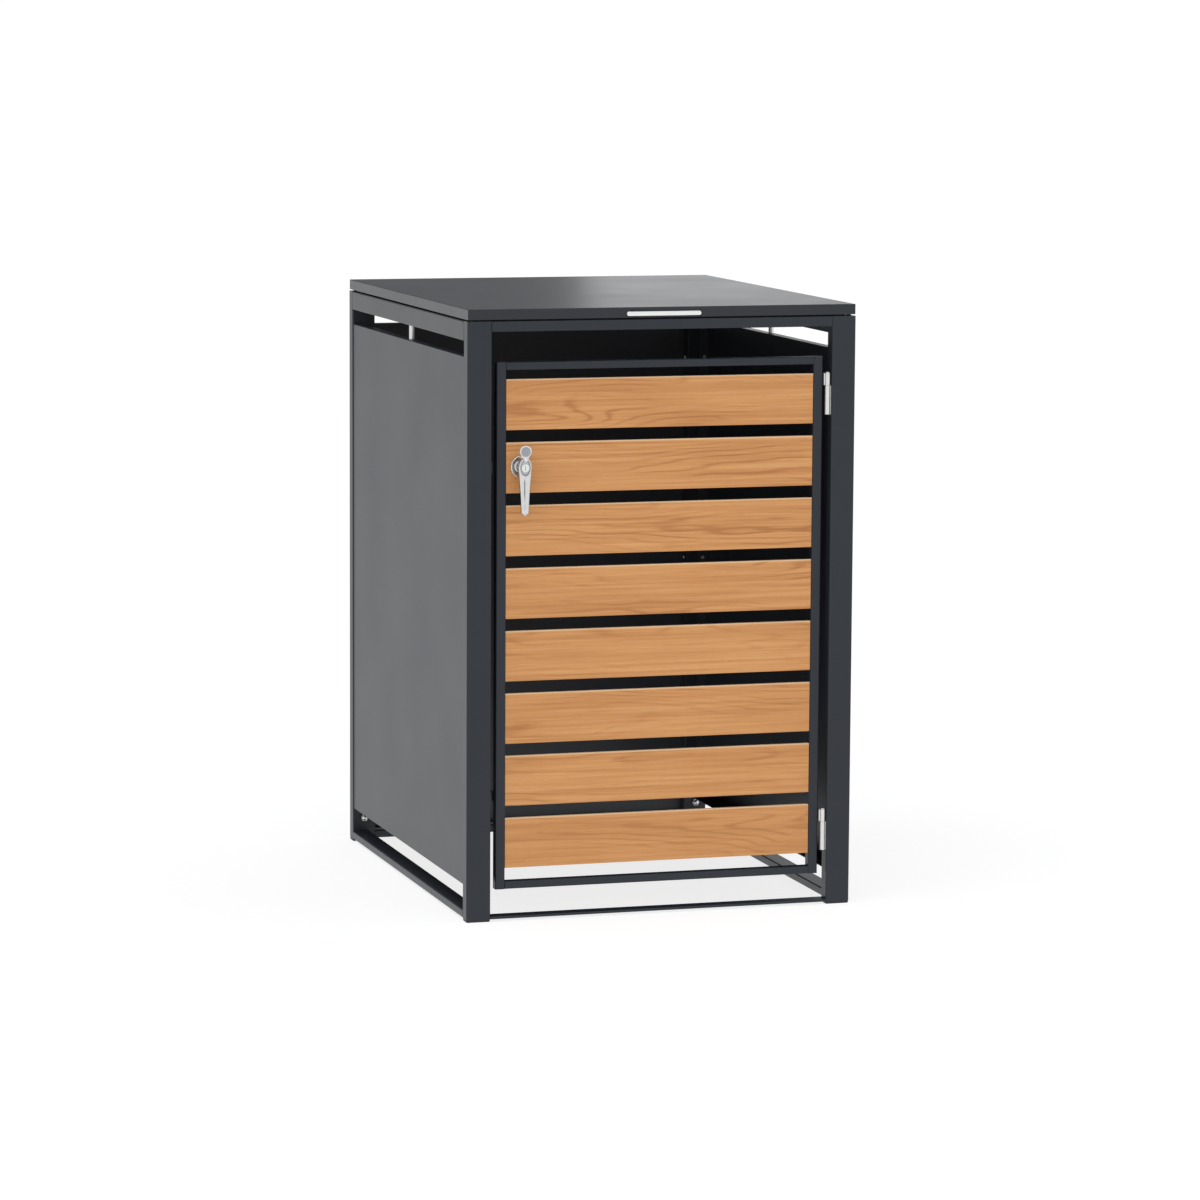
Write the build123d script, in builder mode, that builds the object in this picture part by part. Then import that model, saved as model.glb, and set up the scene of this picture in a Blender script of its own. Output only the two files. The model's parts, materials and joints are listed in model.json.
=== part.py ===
"""A lockable steel housing for one two-wheeled refuse bin, with a lift-up lid and a slatted door.

The frame is right-handed, in millimetres: +Z up, +X to the right seen from the door, -Y out of the door.
The origin is on the ground, under the centre of the whole housing, handle and lid hinges included.
"""
from build123d import *
import math
import os

os.makedirs("parts", exist_ok=True)

# ---------------------------------------------------------------- driving dimensions
width = 780.0
depth = 935.0
height = 1180.0

# steel tubes and sheet
wall = 1.5
tube_corner = 2.5
sheet = 1.5
post_face = 48.0
post_depth = 28.0
top_beam_height = 38.0
front_beam_height = 20.0
bottom_beam_height = 16.0
side_sill_width = 36.0
foot_height = 5.0

# lid
lid_height = 20.0
lid_gap = 3.0
lid_inset = 1.0
lid_lip = 18.0

# panels between the posts
vent_slot = 30.0
panel_bottom = 70.0
rear_panel_bottom = 24.0
panel_recess = 2.0
panel_flange = 20.0
panel_ledge = 46.0

# door
door_bottom = 60.0
door_top = 1078.0
door_gap = 13.5
door_setback = 14.0
door_stile_face = 19.0
door_rail_height = 15.0
door_tube_depth = 20.0
slat_count = 8
slat_height = 97.0
slat_pitch = 121.0
slat_thickness = 10.0
slat_recess = 2.0
first_slat_top = 1045.0

# door hinges and lid hinges
knuckle_radius = 5.5
hinge_pin_radius = 3.0
running_clearance = 0.05
door_axis_x = 336.0
door_axis_setback = 8.0
hinge_projection = 10.0
lid_knuckle_radius = 4.5
lid_pin_radius = 2.0

# lock
lock_x = -280.0
lock_z = 878.0
spindle_radius = 5.0
handle_projection = 21.0

# ---------------------------------------------------------------- derived places
half_width = width / 2
front_y = -(depth + handle_projection + hinge_projection) / 2 + handle_projection
rear_y = front_y + depth
middle_y = (front_y + rear_y) / 2
frame_top = height - lid_height - lid_gap
lid_bottom = height - lid_height
post_x = half_width - post_face / 2
post_inner_x = half_width - post_face
front_post_y = front_y + post_depth / 2
rear_post_y = rear_y - post_depth / 2
post_length = frame_top - foot_height
bay_front_y = front_y + post_depth
bay_rear_y = rear_y - post_depth
bay_length = bay_rear_y - bay_front_y
panel_top = frame_top - top_beam_height - vent_slot
panel_height = panel_top - panel_bottom
panel_centre_z = (panel_top + panel_bottom) / 2
rear_panel_height = panel_top - rear_panel_bottom
rear_panel_centre_z = (panel_top + rear_panel_bottom) / 2
rivet_heights = [panel_bottom + panel_height * share for share in (0.08, 0.5, 0.92)]
rivet_radius = 2.0
rivet_inset = 12.0

door_half = post_inner_x - door_gap
door_front_y = front_y + door_setback
door_rear_y = door_front_y + door_tube_depth
door_mid_y = (door_front_y + door_rear_y) / 2
opening_half = door_half - door_stile_face
slat_front_y = door_front_y + slat_recess
slat_rear_y = slat_front_y + slat_thickness

UP = (0, 0, 1)
ALONG_X = (1, 0, 0)
ALONG_Y = (0, 1, 0)
BACK_TO_FRONT = (0, -1, 0)


def save(piece, label):
    """Names a finished piece and writes it."""
    piece.part.label = label
    export_step(piece.part, f"parts/{label}.step")
    print(f"{label}: {piece.part.volume / 1000:.1f} cm3")


def block(x_range, y_range, z_range):
    """A plain bar or plate between two corners."""
    x_size = x_range[1] - x_range[0]
    y_size = y_range[1] - y_range[0]
    centre = ((x_range[0] + x_range[1]) / 2, (y_range[0] + y_range[1]) / 2, z_range[0])
    with BuildPart() as piece:
        with BuildSketch(Plane(centre)):
            Rectangle(x_size, y_size)
        extrude(amount=z_range[1] - z_range[0])
    return piece


def tube(start, direction, across, size, length):
    """A straight rectangular tube with open ends. across is the way that size's first number runs."""
    with BuildPart() as piece:
        with BuildSketch(Plane(origin=start, x_dir=across, z_dir=direction)):
            RectangleRounded(size[0], size[1], tube_corner)
            RectangleRounded(size[0] - 2 * wall, size[1] - 2 * wall, tube_corner - wall, mode=Mode.SUBTRACT)
        extrude(amount=length)
    return piece


# ---------------------------------------------------------------- posts and feet
bolt_radius = 4.0
bolt_z = 50.0


def corner_post(side, at_rear):
    """A post with a welded top cap, holes for the panel rivets and, at the rear, a through bolt hole."""
    x = side * post_x
    y = rear_post_y if at_rear else front_post_y
    bay_face = bay_rear_y if at_rear else bay_front_y
    into_post = 1 if at_rear else -1
    rivet_x = side * (half_width - rivet_inset)
    with BuildPart() as piece:
        with BuildSketch(Plane((x, y, foot_height))):
            RectangleRounded(post_face, post_depth, tube_corner)
        extrude(amount=post_length)
        with BuildSketch(Plane((x, y, foot_height))):
            RectangleRounded(post_face - 2 * wall, post_depth - 2 * wall, tube_corner - wall)
        extrude(amount=post_length - wall, mode=Mode.SUBTRACT)
        for rivet_z in rivet_heights:
            rivet_place = (rivet_x, bay_face, rivet_z)
            with BuildSketch(Plane(origin=rivet_place, x_dir=ALONG_X, z_dir=(0, into_post, 0))):
                Circle(rivet_radius + running_clearance)
            extrude(amount=wall, mode=Mode.SUBTRACT)
        if at_rear:
            for rivet_z in rivet_heights:
                inner_face = (side * post_inner_x, rear_y - rivet_inset, rivet_z)
                with BuildSketch(Plane(origin=inner_face, x_dir=ALONG_Y, z_dir=(side, 0, 0))):
                    Circle(rivet_radius + running_clearance)
                extrude(amount=wall, mode=Mode.SUBTRACT)
            with BuildSketch(Plane(origin=(x, bay_face, bolt_z), x_dir=ALONG_X, z_dir=ALONG_Y)):
                Circle(bolt_radius + running_clearance)
            extrude(amount=post_depth, mode=Mode.SUBTRACT)
    return piece


for side, side_name in ((-1, "left"), (1, "right")):
    save(corner_post(side, False), f"front_{side_name}_post")
    save(corner_post(side, True), f"rear_{side_name}_post")

foot_plug_depth = 18.0
foot_inset = 0.5
foot_chamfer = 1.0
plug_clearance = 0.2
plug_gap = 2 * (wall + plug_clearance)
with BuildPart() as foot_pads:
    with BuildSketch(Plane((0, middle_y, 0))):
        with GridLocations(2 * post_x, rear_post_y - front_post_y, 2, 2):
            RectangleRounded(post_face - 2 * foot_inset, post_depth - 2 * foot_inset, tube_corner)
    extrude(amount=foot_height)
    chamfer(foot_pads.faces().sort_by(Axis.Z)[:4].edges(), foot_chamfer)
    with BuildSketch(Plane((0, middle_y, foot_height))):
        with GridLocations(2 * post_x, rear_post_y - front_post_y, 2, 2):
            RectangleRounded(post_face - plug_gap, post_depth - plug_gap, tube_corner - wall)
    extrude(amount=foot_plug_depth)
save(foot_pads, "foot_pads")

# ---------------------------------------------------------------- beams
top_beam_z = frame_top - top_beam_height / 2
top_section = (post_depth, top_beam_height)
for side, side_name in ((-1, "left"), (1, "right")):
    beam_x = side * (half_width - post_depth / 2)
    beam = tube((beam_x, bay_front_y, top_beam_z), ALONG_Y, ALONG_X, top_section, bay_length)
    save(beam, f"{side_name}_top_beam")

front_beam_z = frame_top - front_beam_height / 2
front_section = (post_depth, front_beam_height)
beam_length = 2 * post_inner_x
front_beam = tube((-post_inner_x, front_post_y, front_beam_z), ALONG_X, ALONG_Y, front_section, beam_length)
save(front_beam, "front_top_beam")
rear_beam = tube((-post_inner_x, rear_post_y, top_beam_z), ALONG_X, ALONG_Y, top_section, beam_length)
save(rear_beam, "rear_top_beam")

bottom_beam_z = foot_height + bottom_beam_height / 2
side_sill_section = (side_sill_width, bottom_beam_height)
for side, side_name in ((-1, "left"), (1, "right")):
    sill_end = (side * (half_width - side_sill_width / 2), bay_front_y, bottom_beam_z)
    sill = tube(sill_end, ALONG_Y, ALONG_X, side_sill_section, bay_length)
    save(sill, f"{side_name}_bottom_beam")
rear_sill_section = (post_depth, bottom_beam_height)
rear_sill_end = (-post_inner_x, rear_post_y, bottom_beam_z)
rear_sill = tube(rear_sill_end, ALONG_X, ALONG_Y, rear_sill_section, beam_length)
save(rear_sill, "rear_bottom_beam")

threshold_height = 5.0
threshold = block(
    (-post_inner_x, post_inner_x),
    (front_y, front_y + post_depth),
    (foot_height, foot_height + threshold_height),
)
save(threshold, "front_threshold")


# ---------------------------------------------------------------- folded panels
panel_edge_radius = 1.2


def folded_panel(face, across, inward, size):
    """A sheet with a return flange on all four edges. size is the width along across, then the height."""
    with BuildPart() as piece:
        with BuildSketch(Plane(origin=face, x_dir=across, z_dir=inward)):
            Rectangle(size[0], size[1])
        extrude(amount=panel_flange)
        with BuildSketch(Plane(origin=face, x_dir=across, z_dir=inward).offset(sheet)):
            Rectangle(size[0] - 2 * sheet, size[1] - 2 * sheet)
        extrude(amount=panel_flange - sheet, mode=Mode.SUBTRACT)
        panel_end = Vector(face) - Vector(across) * (size[0] / 2)
        hole_start = panel_end + Vector(inward) * (rivet_inset - panel_recess)
        for rivet_z in rivet_heights:
            centre = (hole_start.X, hole_start.Y, rivet_z)
            with BuildSketch(Plane(origin=centre, x_dir=UP, z_dir=across)):
                Circle(rivet_radius + running_clearance)
            extrude(amount=size[0], mode=Mode.SUBTRACT)
        outer_edges = piece.faces().sort_by(Axis(face, inward))[0].edges()
        fillet(outer_edges, panel_edge_radius)
    return piece


for side, side_name in ((-1, "left"), (1, "right")):
    panel_face = (side * (half_width - panel_recess), middle_y, panel_centre_z)
    side_panel = folded_panel(panel_face, ALONG_Y, (-side, 0, 0), (bay_length, panel_height))
    ledge_x = sorted(side * (half_width - panel_recess - reach) for reach in (sheet, panel_ledge))
    ledge = block(ledge_x, (bay_front_y, bay_rear_y), (panel_bottom, panel_bottom + sheet))
    with side_panel:
        add(ledge.part)
    save(side_panel, f"{side_name}_side_panel")
rear_face = (0, rear_y - panel_recess, rear_panel_centre_z)
rear_panel = folded_panel(rear_face, ALONG_X, BACK_TO_FRONT, (2 * post_inner_x, rear_panel_height))
save(rear_panel, "rear_panel")

rivet_head_radius = 3.5
rivet_head_height = 1.2
rivet_length = 6.0

with BuildPart() as panel_rivets:
    for rivet_z in rivet_heights:
        for side in (-1, 1):
            rivet_x = side * (half_width - rivet_inset)
            places = (
                ((rivet_x, bay_front_y + sheet, rivet_z), (0, -1, 0)),
                ((rivet_x, bay_rear_y - sheet, rivet_z), (0, 1, 0)),
                ((side * (post_inner_x - sheet), rear_y - rivet_inset, rivet_z), (side, 0, 0)),
            )
            for point, direction in places:
                with BuildSketch(Plane(origin=point, z_dir=direction).offset(-rivet_head_height)):
                    Circle(rivet_head_radius)
                extrude(amount=rivet_head_height, taper=-20)
                with BuildSketch(Plane(origin=point, z_dir=direction)):
                    Circle(rivet_radius)
                extrude(amount=rivet_length)
save(panel_rivets, "panel_rivets")

spacer_radius = 5.5
spacer_inset = 13.0
spacer_chamfer = 0.6
spacer_x = half_width - spacer_inset
with BuildPart() as slot_spacers:
    with BuildSketch(Plane((0, 0, panel_top))):
        with Locations((-spacer_x, middle_y), (spacer_x, middle_y), (0, rear_y - spacer_inset)):
            Circle(spacer_radius)
    extrude(amount=vent_slot)
    chamfer(slot_spacers.edges().filter_by(GeomType.CIRCLE), spacer_chamfer)
save(slot_spacers, "slot_spacers")

# ---------------------------------------------------------------- frame bolts
bolt_head_radius = 7.0
bolt_head_height = 4.0
bolt_head_rounding = 2.5
nut_height = 6.0
nut_across_flats = 13.0
dome_radius = 5.9
dome_height = 5.5
dome_rounding = 5.0
with BuildPart() as frame_bolts:
    with BuildSketch(Plane(origin=(0, bay_rear_y - nut_height, bolt_z), x_dir=ALONG_X, z_dir=ALONG_Y)):
        with Locations((-post_x, 0), (post_x, 0)):
            Circle(bolt_radius)
    extrude(amount=post_depth + nut_height)
    with BuildSketch(Plane(origin=(0, rear_y, bolt_z), x_dir=ALONG_X, z_dir=ALONG_Y)):
        with Locations((-post_x, 0), (post_x, 0)):
            Circle(bolt_head_radius)
    extrude(amount=bolt_head_height)
    fillet(frame_bolts.faces().sort_by(Axis.Y)[-2:].edges(), bolt_head_rounding)
save(frame_bolts, "frame_bolts")

with BuildPart() as dome_nuts:
    with BuildSketch(Plane(origin=(0, bay_rear_y, bolt_z), x_dir=ALONG_X, z_dir=BACK_TO_FRONT)):
        with Locations((-post_x, 0), (post_x, 0)):
            RegularPolygon(nut_across_flats / 2, 6, major_radius=False)
    extrude(amount=nut_height)
    with BuildSketch(Plane(origin=(0, bay_rear_y - nut_height, bolt_z), x_dir=ALONG_X, z_dir=BACK_TO_FRONT)):
        with Locations((-post_x, 0), (post_x, 0)):
            Circle(dome_radius)
    extrude(amount=dome_height)
    fillet(dome_nuts.faces().sort_by(Axis.Y)[:2].edges(), dome_rounding)
    with BuildSketch(Plane(origin=(0, bay_rear_y, bolt_z), x_dir=ALONG_X, z_dir=BACK_TO_FRONT)):
        with Locations((-post_x, 0), (post_x, 0)):
            Circle(bolt_radius + running_clearance)
    extrude(amount=nut_height, mode=Mode.SUBTRACT)
save(dome_nuts, "dome_nuts")

# ---------------------------------------------------------------- lid
lid_x = width - 2 * lid_inset
lid_y = depth - 2 * lid_inset
grip_length = 150.0
grip_height = 9.0
grip_z = 1167.5
grip_slot_margin = 2.0
lid_edge_radius = 1.2
lid_front_y = front_y + lid_inset
with BuildPart() as lid_cover:
    with BuildSketch(Plane((0, middle_y, lid_bottom))):
        Rectangle(lid_x, lid_y)
    extrude(amount=lid_height)
    with BuildSketch(Plane((0, middle_y, lid_bottom + sheet))):
        Rectangle(lid_x - 2 * sheet, lid_y - 2 * sheet)
    extrude(amount=lid_height - 2 * sheet, mode=Mode.SUBTRACT)
    with BuildSketch(Plane((0, middle_y, lid_bottom))):
        Rectangle(lid_x - 2 * lid_lip, lid_y - 2 * lid_lip)
    extrude(amount=sheet, mode=Mode.SUBTRACT)
    fillet(lid_cover.faces().sort_by(Axis.Z)[-1].edges(), lid_edge_radius)
    with BuildSketch(Plane(origin=(0, lid_front_y, grip_z), x_dir=ALONG_X, z_dir=ALONG_Y)):
        SlotOverall(grip_length + 2 * grip_slot_margin, grip_height + 2 * grip_slot_margin)
    extrude(amount=sheet, mode=Mode.SUBTRACT)
save(lid_cover, "lid_cover")

rib_width = 30.0
rib_height = 14.0
rib_shares = (0.2, 0.5, 0.8)
rib_z = height - sheet - rib_height / 2
rib_length = lid_x - 2 * lid_lip
with BuildPart() as lid_ribs:
    for share in rib_shares:
        rib_end = (-rib_length / 2, front_y + depth * share, rib_z)
        inner_width = rib_width - 2 * wall
        inner_height = rib_height - 2 * wall
        with BuildSketch(Plane(origin=rib_end, x_dir=ALONG_Y, z_dir=ALONG_X)):
            RectangleRounded(rib_width, rib_height, tube_corner)
            RectangleRounded(inner_width, inner_height, tube_corner - wall, mode=Mode.SUBTRACT)
        extrude(amount=rib_length)
save(lid_ribs, "lid_ribs")

backplate_y = lid_front_y + sheet
backplate_thickness = 2.0
backplate_height = 16.0
backplate_length = 172.0
backplate = block(
    (-backplate_length / 2, backplate_length / 2),
    (backplate_y, backplate_y + backplate_thickness),
    (lid_bottom + sheet, lid_bottom + sheet + backplate_height),
)
save(backplate, "lid_grip_backplate")

grip_proud = 3.0
grip_edge_radius = 2.0
with BuildPart() as lid_grip:
    with BuildSketch(Plane(origin=(0, backplate_y, grip_z), x_dir=ALONG_X, z_dir=BACK_TO_FRONT)):
        SlotOverall(grip_length, grip_height)
    extrude(amount=sheet + grip_proud)
    fillet(lid_grip.faces().sort_by(Axis.Y)[0].edges(), grip_edge_radius)
save(lid_grip, "lid_grip")

buffer_radius = 4.5
buffer_inset_x = 11.0
buffer_inset_y = 12.0
buffer_clearance = 0.2
buffer_chamfer = 0.5
with BuildPart() as lid_buffers:
    with BuildSketch(Plane((0, middle_y, frame_top))):
        with GridLocations(width - 2 * buffer_inset_x, depth - 2 * buffer_inset_y, 2, 2):
            Circle(buffer_radius)
    extrude(amount=lid_gap - buffer_clearance)
    chamfer(lid_buffers.faces().sort_by(Axis.Z)[-4:].edges(), buffer_chamfer)
save(lid_buffers, "lid_buffers")

# ---------------------------------------------------------------- lid hinges
lid_axis_y = rear_y + hinge_projection - lid_knuckle_radius
lid_axis_z = frame_top + lid_gap / 2
lid_hinge_length = 90.0
lid_hinge_x = 270.0
leaf_thickness = 2.0
leaf_drop = 34.0
leaf_clearance = 0.5
leaf_gap = 0.3
tab_thickness = 1.5
tab_offset = 0.75
tab_lift = 1.0
leaf_top_inset = 2.0
third = lid_hinge_length / 3

with BuildPart() as frame_leaves:
    for side in (-1, 1):
        middle_x = side * lid_hinge_x
        leaf_y = rear_y + leaf_thickness / 2
        leaf_bottom = frame_top - leaf_drop
        leaf_top = lid_axis_z - lid_knuckle_radius - leaf_clearance
        with BuildSketch(Plane((middle_x, leaf_y, leaf_bottom))):
            Rectangle(lid_hinge_length, leaf_thickness)
        extrude(amount=leaf_top - leaf_bottom)
        for barrel_start in (middle_x - lid_hinge_length / 2, middle_x + third / 2):
            with BuildSketch(Plane((barrel_start + third / 2, leaf_y, leaf_top))):
                Rectangle(third, leaf_thickness)
            extrude(amount=lid_axis_z - leaf_top)
            barrel_plane = Plane(origin=(barrel_start, lid_axis_y, lid_axis_z), x_dir=ALONG_Y, z_dir=ALONG_X)
            with BuildSketch(barrel_plane):
                Circle(lid_knuckle_radius)
            extrude(amount=third)
            with BuildSketch(barrel_plane):
                Circle(lid_pin_radius + running_clearance)
            extrude(amount=third, mode=Mode.SUBTRACT)
save(frame_leaves, "lid_hinge_frame_leaves")

with BuildPart() as lid_leaves:
    for side in (-1, 1):
        middle_x = side * lid_hinge_x
        leaf_y = rear_y - lid_inset + leaf_thickness / 2
        leaf_start = lid_axis_z + lid_knuckle_radius + leaf_clearance
        barrel_half = third / 2 - leaf_gap
        with BuildSketch(Plane((middle_x, leaf_y, leaf_start))):
            Rectangle(lid_hinge_length, leaf_thickness)
        extrude(amount=height - leaf_top_inset - leaf_start)
        with BuildSketch(Plane((middle_x, leaf_y + tab_offset, lid_axis_z + tab_lift))):
            Rectangle(2 * barrel_half, tab_thickness)
        extrude(amount=lid_knuckle_radius)
        barrel_end = (middle_x - barrel_half, lid_axis_y, lid_axis_z)
        with BuildSketch(Plane(origin=barrel_end, x_dir=ALONG_Y, z_dir=ALONG_X)):
            Circle(lid_knuckle_radius)
        extrude(amount=2 * barrel_half)
        with BuildSketch(Plane(origin=barrel_end, x_dir=ALONG_Y, z_dir=ALONG_X)):
            Circle(lid_pin_radius + running_clearance)
        extrude(amount=2 * barrel_half, mode=Mode.SUBTRACT)
save(lid_leaves, "lid_hinge_lid_leaves")

with BuildPart() as lid_hinge_pins:
    for side in (-1, 1):
        pin_start = (side * lid_hinge_x - lid_hinge_length / 2, lid_axis_y, lid_axis_z)
        with BuildSketch(Plane(origin=pin_start, x_dir=ALONG_Y, z_dir=ALONG_X)):
            Circle(lid_pin_radius)
        extrude(amount=lid_hinge_length)
save(lid_hinge_pins, "lid_hinge_pins")

# ---------------------------------------------------------------- door frame
door_height = door_top - door_bottom
stile_section = (door_stile_face, door_tube_depth)
rail_section = (door_tube_depth, door_rail_height)
top_rail_z = door_top - door_rail_height / 2
bottom_rail_z = door_bottom + door_rail_height / 2
for side, side_name in ((-1, "left"), (1, "right")):
    stile_x = side * (door_half - door_stile_face / 2)
    stile = tube((stile_x, door_mid_y, door_bottom), UP, ALONG_X, stile_section, door_height)
    save(stile, f"door_{side_name}_stile")
for rail_z, rail_name in ((top_rail_z, "top"), (bottom_rail_z, "bottom")):
    rail = tube((-opening_half, door_mid_y, rail_z), ALONG_X, ALONG_Y, rail_section, 2 * opening_half)
    save(rail, f"door_{rail_name}_rail")

cap_thickness = 1.5
with BuildPart() as stile_caps:
    for cap_z in (door_bottom, door_top - cap_thickness):
        with BuildSketch(Plane((0, door_mid_y, cap_z))):
            with GridLocations(2 * (door_half - door_stile_face / 2), 0, 2, 1):
                RectangleRounded(door_stile_face - plug_gap, door_tube_depth - plug_gap, tube_corner - wall)
        extrude(amount=cap_thickness)
save(stile_caps, "door_stile_caps")

# ---------------------------------------------------------------- slats, brackets and screws
bracket_width = 12.0
bracket_height = 84.0
bracket_thickness = 4.0
screw_radius = 2.0
screw_bite = 6.0
screw_tip_clearance = 0.2
screw_spacing = 60.0
slat_end_gap = 0.5
slat_edge_radius = 1.2
bracket_x = opening_half - bracket_width / 2
slat_half_length = opening_half - slat_end_gap
slat_centres = [first_slat_top - slat_height / 2 - slat_pitch * index for index in range(slat_count)]
screw_heights = [z + shift for z in slat_centres for shift in (-screw_spacing / 2, screw_spacing / 2)]
barrel_radius = 11.0
barrel_hole_radius = 11.3

for side, side_name in ((-1, "left"), (1, "right")):
    bracket_plane = Plane(origin=(side * bracket_x, slat_rear_y, 0), x_dir=UP, z_dir=ALONG_Y)
    with BuildPart() as brackets:
        with BuildSketch(bracket_plane):
            with Locations(*[(z, 0) for z in slat_centres]):
                Rectangle(bracket_height, bracket_width)
        extrude(amount=bracket_thickness)
        with BuildSketch(bracket_plane):
            with Locations(*[(z, 0) for z in screw_heights]):
                Circle(screw_radius + running_clearance)
        extrude(amount=bracket_thickness, mode=Mode.SUBTRACT)
    save(brackets, f"{side_name}_slat_brackets")

for index, slat_z in enumerate(slat_centres):
    with BuildPart() as slat:
        with BuildSketch(Plane(origin=(0, slat_front_y, slat_z), x_dir=ALONG_X, z_dir=ALONG_Y)):
            Rectangle(2 * slat_half_length, slat_height)
        extrude(amount=slat_thickness)
        fillet(slat.edges().filter_by(Axis.X), slat_edge_radius)
        with BuildSketch(Plane(origin=(0, slat_rear_y, slat_z), x_dir=ALONG_X, z_dir=BACK_TO_FRONT)):
            with GridLocations(2 * bracket_x, screw_spacing, 2, 2):
                Circle(screw_radius + running_clearance)
        extrude(amount=screw_bite + screw_tip_clearance, mode=Mode.SUBTRACT)
        if index == 1:
            with BuildSketch(Plane(origin=(lock_x, slat_front_y, lock_z), x_dir=ALONG_X, z_dir=ALONG_Y)):
                Circle(barrel_hole_radius)
            extrude(amount=slat_thickness, mode=Mode.SUBTRACT)
    save(slat, f"slat_{index + 1}")

screw_head_radius = 4.0
screw_head_height = 2.2
with BuildPart() as slat_screws:
    screw_points = [(side * bracket_x, z) for side in (-1, 1) for z in screw_heights]
    with BuildSketch(Plane(origin=(0, slat_rear_y - screw_bite, 0), x_dir=ALONG_X, z_dir=ALONG_Y)):
        with Locations(*[(x, -z) for x, z in screw_points]):
            Circle(screw_radius)
    extrude(amount=screw_bite + bracket_thickness)
    with BuildSketch(Plane(origin=(0, slat_rear_y + bracket_thickness, 0), x_dir=ALONG_X, z_dir=ALONG_Y)):
        with Locations(*[(x, -z) for x, z in screw_points]):
            Circle(screw_head_radius)
    extrude(amount=screw_head_height)
save(slat_screws, "slat_screws")

# ---------------------------------------------------------------- door hinges
door_axis_y = front_y + door_axis_setback
short_knuckle = 23.0
long_knuckle = 56.0
washer_thickness = 1.0
hinge_bottoms = (108.0, 966.0)
knuckle_strap_depth = 7.0
strap_width = post_inner_x - door_axis_x
with BuildPart() as frame_knuckles:
    for bottom in hinge_bottoms:
        with BuildSketch(Plane((door_axis_x, door_axis_y, bottom))):
            Circle(knuckle_radius)
            with Locations((strap_width / 2, 0)):
                Rectangle(strap_width, knuckle_strap_depth)
            Circle(hinge_pin_radius + running_clearance, mode=Mode.SUBTRACT)
        extrude(amount=long_knuckle)
save(frame_knuckles, "door_hinge_frame_knuckles")

strap_thickness = 3.0
strap_x = door_half + strap_thickness / 2 - door_axis_x
strap_end_inset = 5.0
strap_length = door_rear_y - strap_end_inset - door_axis_y
with BuildPart() as door_knuckles:
    for bottom in hinge_bottoms:
        with BuildSketch(Plane((door_axis_x, door_axis_y, bottom + long_knuckle + washer_thickness))):
            Circle(knuckle_radius)
            with Locations((strap_x, strap_length / 2)):
                Rectangle(strap_thickness, strap_length)
            Circle(hinge_pin_radius + running_clearance, mode=Mode.SUBTRACT)
        extrude(amount=short_knuckle)
save(door_knuckles, "door_hinge_door_knuckles")

pin_head_height = 2.0
pin_head_radius = 5.0
pin_head_gap = 0.3
pin_length = long_knuckle + washer_thickness + short_knuckle + pin_head_gap
with BuildPart() as door_hinge_pins:
    for bottom in hinge_bottoms:
        with BuildSketch(Plane((door_axis_x, door_axis_y, bottom))):
            Circle(hinge_pin_radius)
        extrude(amount=pin_length)
        with BuildSketch(Plane((door_axis_x, door_axis_y, bottom + pin_length))):
            Circle(pin_head_radius)
        extrude(amount=pin_head_height, taper=20)
save(door_hinge_pins, "door_hinge_pins")

washer_radius = 5.2
washer_clearance = 0.1
with BuildPart() as hinge_washers:
    for bottom in hinge_bottoms:
        with BuildSketch(Plane((door_axis_x, door_axis_y, bottom + long_knuckle))):
            Circle(washer_radius)
            Circle(hinge_pin_radius + running_clearance, mode=Mode.SUBTRACT)
        extrude(amount=washer_thickness - washer_clearance)
save(hinge_washers, "door_hinge_washers")

# ---------------------------------------------------------------- strike, door stop and buffers
strike_height = 20.0
strike_thickness = 2.5
strike_reach = 32.0
strike_post_inset = 5.0
strike_foot_y = front_y + strike_post_inset
strike_front_y = door_rear_y + 2.0
stop_z = 240.0


def stop_bracket(z):
    """An angle bracket on the left post: its foot lies on the post, its tab stands behind the stile."""
    with BuildPart() as piece:
        with BuildSketch(Plane((-post_inner_x, 0, z - strike_height / 2))):
            with BuildLine():
                Polyline(
                    (0, strike_foot_y),
                    (strike_thickness, strike_foot_y),
                    (strike_thickness, strike_front_y),
                    (strike_reach, strike_front_y),
                    (strike_reach, strike_front_y + strike_thickness),
                    (0, strike_front_y + strike_thickness),
                    close=True,
                )
            make_face()
        extrude(amount=strike_height)
    return piece


save(stop_bracket(lock_z), "lock_strike")
save(stop_bracket(stop_z), "lower_door_stop")

left_stile_x = -(door_half - door_stile_face / 2)
stop_buffer_radius = 4.0
stop_buffer_height = 1.7
with BuildPart() as stop_buffers:
    with BuildSketch(Plane(origin=(0, strike_front_y, 0), x_dir=ALONG_X, z_dir=BACK_TO_FRONT)):
        with Locations((left_stile_x, lock_z), (left_stile_x, stop_z)):
            Circle(stop_buffer_radius)
    extrude(amount=stop_buffer_height)
save(stop_buffers, "door_stop_buffers")

# ---------------------------------------------------------------- lock: fixed housing
rosette_radius = 21.0
rosette_thickness = 5.0
rosette_rim = 2.6
rosette_edge_radius = 1.2
rosette_dish = 1.4
collar_radius = 13.0
collar_length = 6.0
collar_start = 3.6
barrel_length = 22.0
lock_nut_half_flats = 14.0
lock_nut_height = 6.0


def lock_plane(y, toward=ALONG_Y):
    """A plane across the lock's axis."""
    return Plane(origin=(lock_x, y, lock_z), x_dir=ALONG_X, z_dir=toward)


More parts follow.
